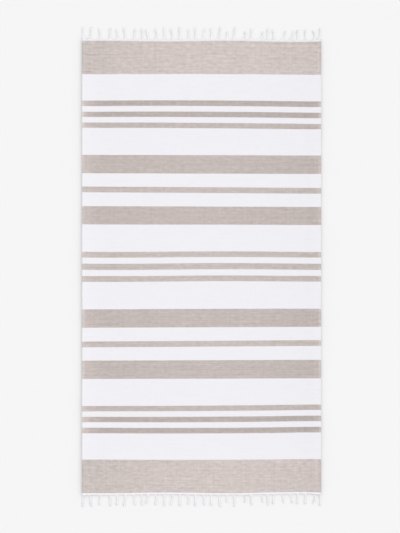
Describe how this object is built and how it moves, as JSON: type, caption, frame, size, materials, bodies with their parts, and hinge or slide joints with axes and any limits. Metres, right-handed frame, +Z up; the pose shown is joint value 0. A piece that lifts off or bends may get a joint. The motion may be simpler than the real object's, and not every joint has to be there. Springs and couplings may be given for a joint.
{
  "type": "hammam towel",
  "caption": "Flat-woven cotton hammam towel laid out flat, white with taupe cross stripes, a slightly curled selvedge on each side and a knotted fringe at both ends.",
  "frame": {"origin": "on the floor, under the middle of the towel", "axes": "+X across the towel, +Y along it toward fringe_a, +Z up from the floor"},
  "size_m": [0.9026, 1.8134, 0.0073],
  "materials": {
    "striped_cotton": "matt flat weave, white with taupe stripes",
    "warp_cotton": "matt twisted white yarn"
  },
  "bodies": {
    "root": {"cloth": "striped_cotton", "fringe_a": "warp_cotton", "fringe_b": "warp_cotton"}
  },
  "joints": []
}
